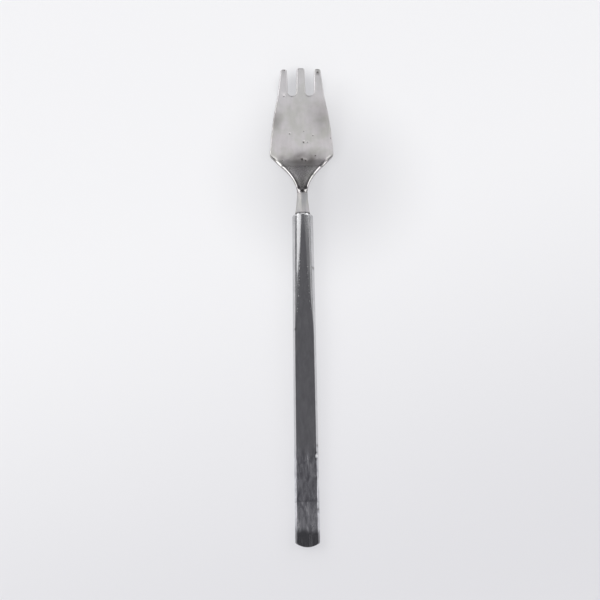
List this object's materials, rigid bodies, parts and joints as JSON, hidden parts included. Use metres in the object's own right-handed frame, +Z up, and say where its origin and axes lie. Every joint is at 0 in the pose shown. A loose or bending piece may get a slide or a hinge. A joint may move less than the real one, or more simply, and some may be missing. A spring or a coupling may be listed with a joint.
{
  "type": "salad fork",
  "caption": "Salad fork with a tapered flat blade, short blunt tines, a dished shoulder and a round neck set into a slim flat hollow handle.",
  "frame": {"origin": "on the table under the middle of the fork's box, as it lies with its tines up on its bowl and the tail of its handle", "axes": "+X across the blade to the right, +Y along the handle towards the tines, +Z up"},
  "size_m": [0.023, 0.1788, 0.0102],
  "materials": {
    "satin_steel": "satin stainless steel with small pits and faint stains",
    "polished_steel": "polished stainless steel, worn to fine lengthwise scratches",
    "brazing_brass": "as brazed",
    "handle_cement": "matt, set cement"
  },
  "bodies": {
    "root": {"fork_head": "satin_steel", "handle_upper_shell": "polished_steel", "handle_lower_shell": "polished_steel", "seam_braze": "brazing_brass", "tang_cement": "handle_cement"}
  },
  "joints": []
}
